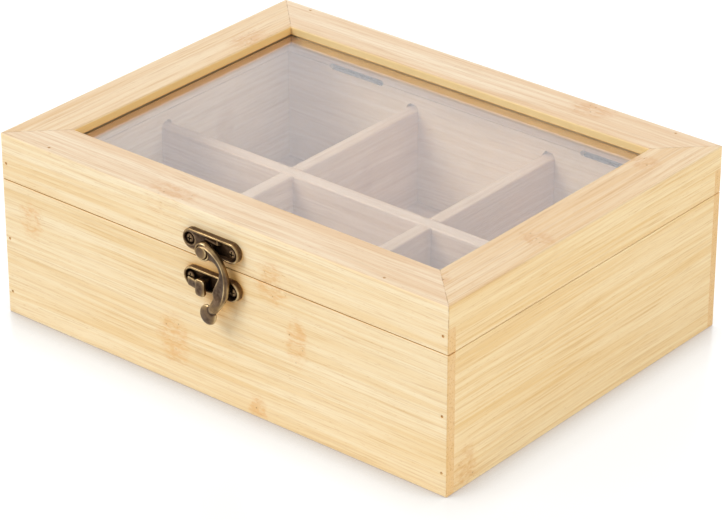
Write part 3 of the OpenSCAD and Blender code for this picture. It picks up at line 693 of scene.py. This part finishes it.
def hook_arm():
    """The arm: a roof-shaped section carried between the hook's outer and inner edges.

    Stations pair even steps along both edges. Across a station the section runs from the inner
    edge over a ridge near the outer edge and back behind; towards the pad it grows rounder and
    lifts away from the face, and its last stations shrink to a point along an ellipse.
    """
    count = 84
    bow = np.array([13.3, -11.8])
    tail = KNOB + [1.0, -0.8]
    outer = evenly(np.concatenate([
        [[-1.5, 3.4]], arc((1.08, 3.95), bow, 16.05, 26), arc(bow, tail, 17.6, 26)[1:]]), count)
    inner = evenly(np.concatenate([
        [[-1.0, -3.4]], arc((3.8, -3.0), (7.9, -9.8), 4.5, 12), [[6.3, -13.0], [4.5, -16.6]],
        [[4.9, -17.9]], [[6.0, -18.9]], [KNOB + [0.9, 4.1]], [KNOB + [-1.1, 0.5]]]), count)
    # Section: place across (-1 inner edge, 1 outer edge) and height (1 front, -1 back).
    section = np.array([
        (-1.0, 0.0), (-0.985, 0.3), (-0.93, 0.48), (-0.82, 0.6), (-0.5, 0.76), (-0.15, 0.92),
        (0.2, 1.1), (0.45, 1.28), (0.62, 1.5), (0.76, 1.2), (0.92, 0.75), (0.99, 0.3),
        (1.0, 0.0), (0.985, -0.4), (0.92, -0.75), (0.78, -0.95), (0.4, -1.0), (0.0, -1.0),
        (-0.4, -1.0), (-0.78, -0.95), (-0.92, -0.75), (-0.985, -0.4)])
    angle = np.linspace(math.pi, -math.pi, len(section), endpoint=False)
    round_section = np.stack([np.cos(angle), np.sin(angle)], axis=-1)
    station = np.linspace(0, 1, count)[:, None]
    rounder = smooth_step(station, 0.62, 0.8)
    across = section[:, 0] * (1 - rounder) + round_section[:, 0] * rounder
    height = section[:, 1] * (1 - rounder) + round_section[:, 1] * rounder
    lift = 2.2 * smooth_step(station, 0.66, 0.86) - 1.5 * smooth_step(station, 0.87, 1.0)
    half = HOOK_HALF + 0.45 * rounder
    end = np.sqrt(np.clip(1 - (np.clip(station - 0.93, 0, 1) / 0.07) ** 2, 0, 1))
    middle, reach = (outer + inner) / 2, (outer - inner) / 2
    x = middle[:, :1] + reach[:, :1] * across * end
    y = middle[:, 1:] + reach[:, 1:] * across * end
    out = HOOK_MID + lift + half * height * end
    # A pole at the middle of the first station closes it.
    x, y, out = (np.concatenate([0 * grid[:1] + grid[0].mean(), grid]) for grid in (x, y, out))
    return on_front(PIVOT_AT, x, y, out)


# Profiles of the hook's eye and of the rivet: radius, and height in front of the face.
EYE_PROFILE = [
    (0.0, 3.2), (3.6, 3.2), (3.95, 3.35), (4.1, 3.7), (4.1, 4.8), (4.0, 5.25), (3.8, 5.6),
    (3.5, 5.75), (3.2, 5.65), (2.95, 5.3), (2.75, 5.1), (0.0, 5.1)]
RIVET_PROFILE = [
    (0.0, 0.02), (1.6, 0.02), (1.6, 5.2), (2.5, 5.25), (2.72, 5.4), (2.8, 5.7), (2.76, 6.05),
    (2.6, 6.3), (2.3, 6.44), (1.6, 6.5), (0.8, 6.54), (0.0, 6.55)]

latch_plate = shell_object(
    "cast_latch_plate", [plate_shell(LATCH_AT, latch_ground)], "lid", polish=0.58, rounds=150)
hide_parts("latch_plate")

# On the catch plate: the post's head and stem, and the foot of the casting left of them.
catch_plate = shell_object("cast_catch_plate", [
    plate_shell(CATCH_AT, catch_ground),
    block_shell(CATCH_AT, (-6.4, -5.8, 3.5), (-1.5, 1.7, 5.75), (1.4, 1.5, 0.55)),
    block_shell(CATCH_AT, (-5.7, -3.4, 0.6), (-1.8, 1.5, 4.6), (0.5, 0.5, 0.3)),
    block_shell(CATCH_AT, (-12.6, -4.15, 0.6), (-5.6, -0.1, 3.2), (0.9, 0.7, 0.5), slope=0.2),
], "box", polish=0.58, rounds=150)
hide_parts("catch_plate")

hook = shell_object("cast_latch_hook", [
    hook_arm(), turned_shell(PIVOT_AT, EYE_PROFILE),
    pebble_shell(PIVOT_AT, (*KNOB, 6.3), (4.3, 4.5, 1.6)),
], "hook", least=0.01, polish=2.2)
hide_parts("latch_hook")

rivet = shell_object(
    "hook_rivet_head", [turned_shell(PIVOT_AT, RIVET_PROFILE)], "lid", least=0.09, polish=1.5)
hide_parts("hook_rivet")


# ---- Floor, light and camera ----

def pale_floor():
    """A smooth pale table: it keeps the lamps' soft shadow and a faint reflection of the box, and
    right at the box a painted contact shadow tinted like the wood.
    """
    material, put = new_material("pale_studio_table")
    mottle = put("TexNoise", {"Vector": put("TexCoord", out="Object"), "Scale": 3.0})
    colour = put("ValToRGB", mottle, stops=[(0.0, "#EFEEED"), (1.0, "#F3F2F1")])
    table = put("BsdfPrincipled", {"Base Color": colour, "Roughness": 0.6})
    # What is seen of it is an even glow on a dark shiny base: the glow makes the ground white, and
    # the base keeps the shadow and the reflection faint. Within 22 mm of what stands on the table
    # the glow is darkened by ambient occlusion and tinted the colour of the wood: painted contact
    # shadow and painted reflection of the wood.
    shaded = put("BsdfPrincipled", {"Base Color": linear("#5A5A5A"), "Roughness": 0.22,
                                    "IOR": 1.5})
    near = put("AmbientOcclusion", {"Distance": 22 * MM}, out="AO", samples=8)
    tint = put("ValToRGB", near, stops=[
        (0.45, "#BDB1A6"), (0.52, "#D3C7BC"), (0.6, "#DEDDD9"), (0.72, "#F2EFEC"),
        (0.84, "#F8F6F2"), (1.0, "#FFFFFF")])
    lifted = put("AddShader", shaded, put("Emission", {"Color": tint, "Strength": 0.885}))
    put("OutputMaterial", put("MixShader", seen_ray(put), table, lifted), out=None)
    return material


def floor_plane():
    """A flat square of 6 m sides at the standing surface, in metres."""
    half = 3.0
    mesh = bpy.data.meshes.new("studio_table")
    mesh.from_pydata([(-half, -half, 0), (half, -half, 0), (half, half, 0), (-half, half, 0)], [],
                     [(0, 1, 2, 3)])
    mesh.materials.append(pale_floor())
    return placed("studio_table", mesh)


floor_plane()


def towards(azimuth, elevation):
    """The direction to a place at these degrees: round from the front to the right, and up."""
    az, el = math.radians(azimuth), math.radians(elevation)
    return Vector((math.sin(az) * math.cos(el), -math.cos(az) * math.cos(el), math.sin(el)))


def sun(name, azimuth, elevation, level, spread, mirrored=True):
    """A distant soft lamp; level is what it adds to a white surface that faces it.

    One that is not mirrored lights the wood but leaves no glare on the glass and the metal.
    """
    lamp = bpy.data.lights.new(name, "SUN")
    lamp.energy = level * math.pi
    lamp.angle = math.radians(spread)
    made = placed(name, lamp)
    place = towards(azimuth, elevation)
    made.location = place * 2
    made.rotation_euler = place.to_track_quat("Z", "Y").to_euler()
    made.visible_glossy = mirrored


sun("key_softbox", -38.0, 42.0, 0.54, 34.0)
sun("side_softbox", 95.0, 16.0, 0.48, 60.0, mirrored=False)
# Behind the table, where a low glance meets it in the glass and in the lacquer.
sun("back_softbox", 219.7, 27.7, 0.12, 42.0)


def white_room():
    """White surroundings at full white for what is seen, and at a plain level for light."""
    world = bpy.data.worlds.new("white_room")
    world.use_nodes = True
    world.node_tree.nodes.clear()
    put = partial(add, world.node_tree)
    light = put("Background", {"Color": linear("#FFFBF5"), "Strength": 0.46})
    backdrop = put("Background", {"Color": linear("#FFFFFF"), "Strength": 1.0})
    put("OutputWorld", put("MixShader", seen_ray(put), light, backdrop), out=None)
    world.cycles.sampling_method = "NONE"
    bpy.context.scene.world = world


white_room()

camera = bpy.data.cameras.new("photo_camera")
camera.lens = 170.39
camera.sensor_width = 36.0
camera.clip_start = 0.05
camera.clip_end = 20.0
camera_object = placed("photo_camera", camera)
camera_object.location = (0.82453, -0.99063, 0.70464)
camera_object.rotation_euler = towards(39.735, 27.699).to_track_quat("Z", "Y").to_euler()
bpy.context.scene.camera = camera_object
bpy.context.scene.view_settings.view_transform = "Standard"
